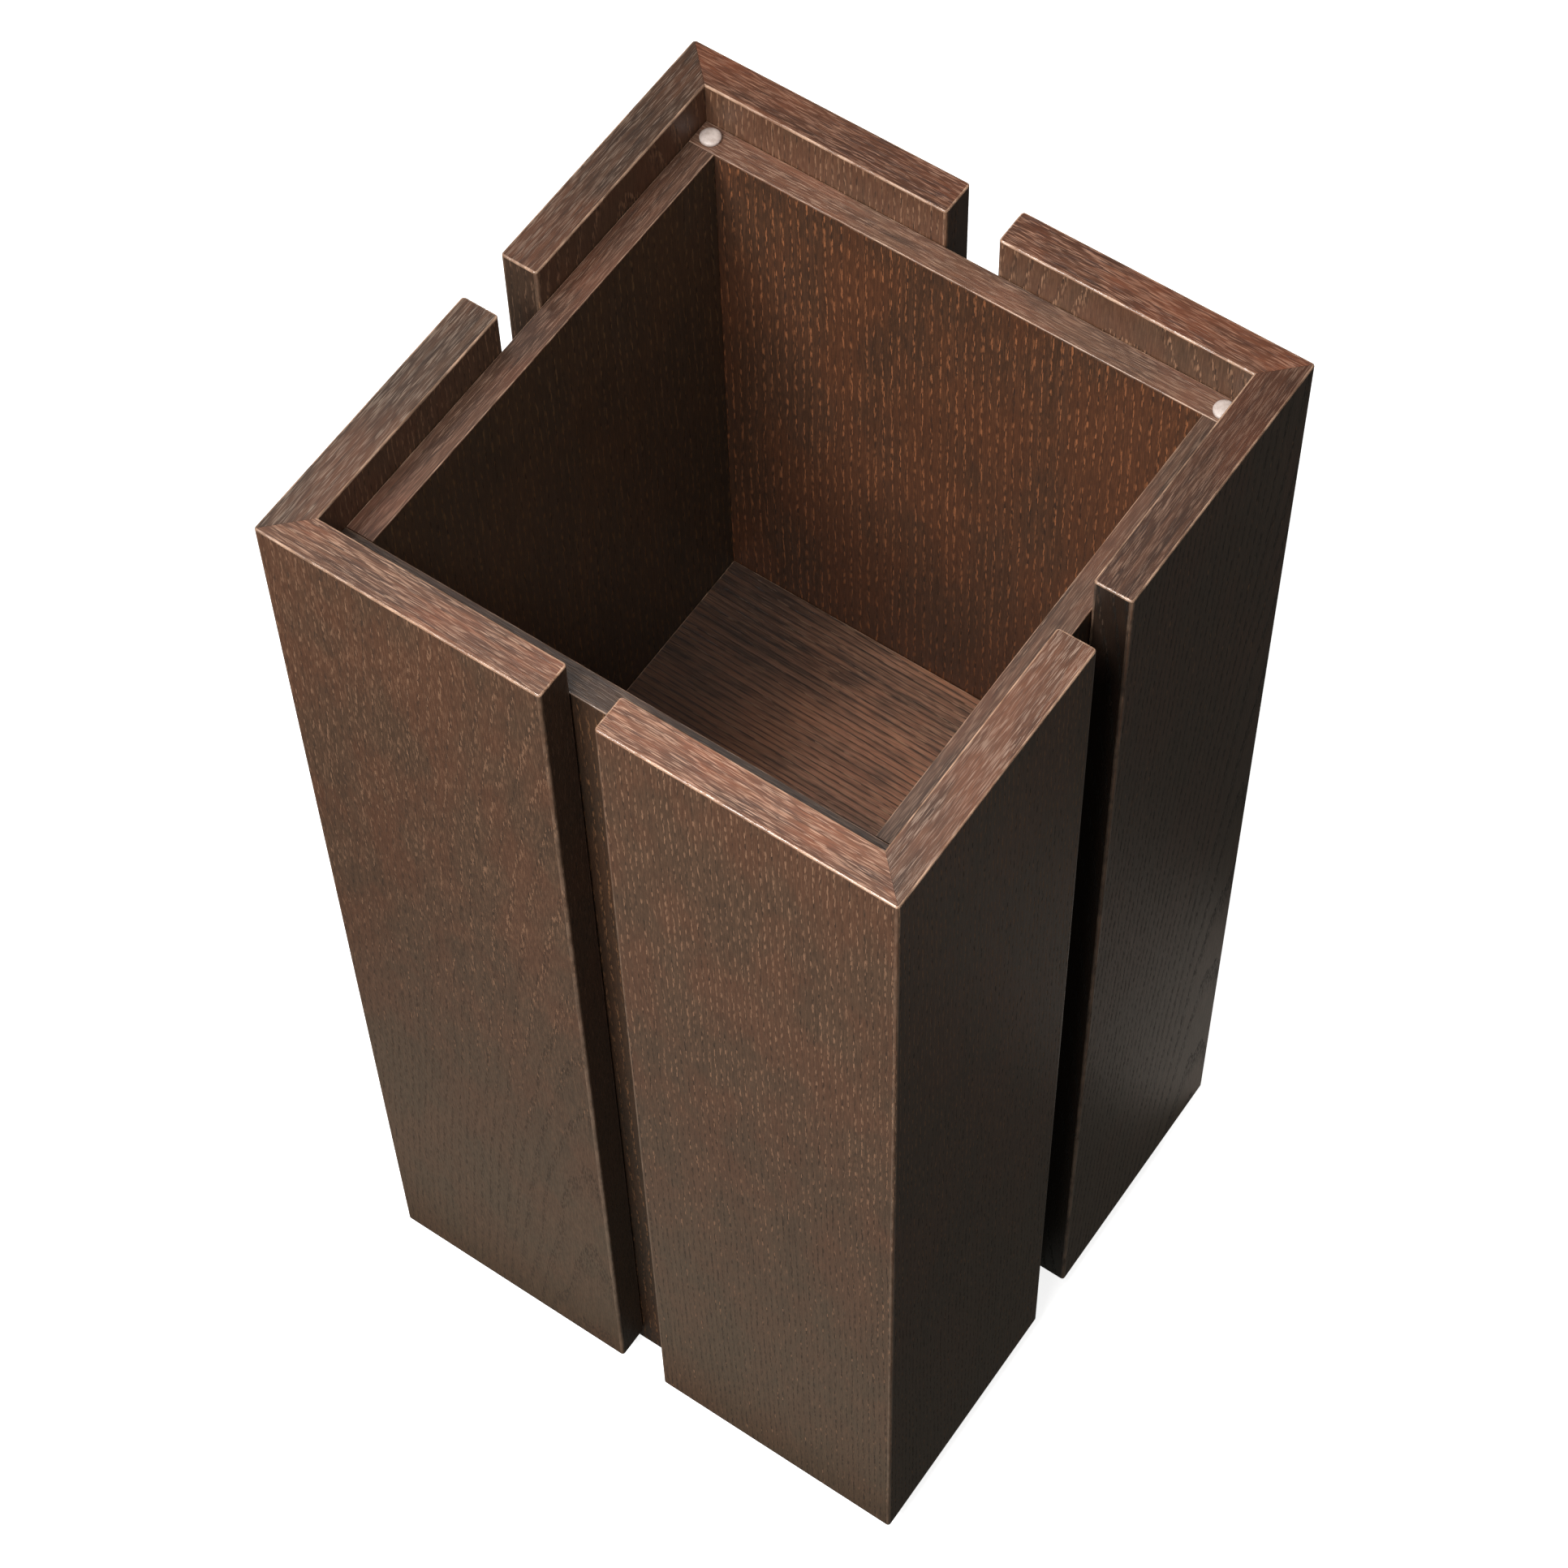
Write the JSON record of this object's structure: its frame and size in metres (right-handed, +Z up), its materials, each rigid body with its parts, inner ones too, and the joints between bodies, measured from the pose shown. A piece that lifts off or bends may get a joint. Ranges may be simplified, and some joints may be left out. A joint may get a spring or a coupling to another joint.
{
  "type": "umbrella stand",
  "caption": "Square dark oak umbrella stand: an open inner box between mitred corner posts, with a slit in each side and a recessed padded rim.",
  "frame": {"origin": "centre of the footprint, on the floor", "axes": "+Z up, -Y is the front, +X is the right; the sides lie along X and Y"},
  "size_m": [0.3, 0.296, 0.65],
  "materials": {
    "dark_oak": "oak veneer stained dark brown, open pores, satin lacquer",
    "oak_lipping": "oak edge strip stained dark brown, pale open pores, satin lacquer",
    "pine_cleat": "planed softwood batten, unfinished",
    "beech_dowel": "fluted beech dowel, unfinished",
    "zinc_screw": "yellow zinc plated",
    "pale_pad": "soft pale self-adhesive bumper, slightly domed",
    "black_glide": "moulded nylon furniture glide"
  },
  "bodies": {
    "root": {"cleat_screw_back_1": "zinc_screw", "cleat_screw_back_2": "zinc_screw", "cleat_screw_front_1": "zinc_screw", "cleat_screw_front_2": "zinc_screw", "cleat_screw_left_1": "zinc_screw", "cleat_screw_left_2": "zinc_screw", "cleat_screw_right_1": "zinc_screw", "cleat_screw_right_2": "zinc_screw", "dowel_back_left_1": "beech_dowel", "dowel_back_left_2": "beech_dowel", "dowel_back_left_3": "beech_dowel", "dowel_back_right_1": "beech_dowel", "dowel_back_right_2": "beech_dowel", "dowel_back_right_3": "beech_dowel", "dowel_front_left_1": "beech_dowel", "dowel_front_left_2": "beech_dowel", "dowel_front_left_3": "beech_dowel", "dowel_front_right_1": "beech_dowel", "dowel_front_right_2": "beech_dowel", "dowel_front_right_3": "beech_dowel", "floor_cleat_back": "pine_cleat", "floor_cleat_front": "pine_cleat", "floor_cleat_left": "pine_cleat", "floor_cleat_right": "pine_cleat", "floor_panel": "dark_oak", "glide_back_left": "black_glide", "glide_back_right": "black_glide", "glide_front_left": "black_glide", "glide_front_right": "black_glide", "post_back_left_face": "dark_oak", "post_back_left_face_lipping": "oak_lipping", "post_back_left_side": "dark_oak", "post_back_left_side_lipping": "oak_lipping", "post_back_right_face": "dark_oak", "post_back_right_face_lipping": "oak_lipping", "post_back_right_side": "dark_oak", "post_back_right_side_lipping": "oak_lipping", "post_front_left_face": "dark_oak", "post_front_left_face_lipping": "oak_lipping", "post_front_left_side": "dark_oak", "post_front_left_side_lipping": "oak_lipping", "post_front_right_face": "dark_oak", "post_front_right_face_lipping": "oak_lipping", "post_front_right_side": "dark_oak", "post_front_right_side_lipping": "oak_lipping", "rim_lipping_back": "oak_lipping", "rim_lipping_front": "oak_lipping", "rim_lipping_left": "oak_lipping", "rim_lipping_right": "oak_lipping", "rim_pad_back_left": "pale_pad", "rim_pad_back_right": "pale_pad", "rim_pad_front_left": "pale_pad", "rim_pad_front_right": "pale_pad", "wall_back": "dark_oak", "wall_front": "dark_oak", "wall_left": "dark_oak", "wall_right": "dark_oak"}
  },
  "joints": []
}
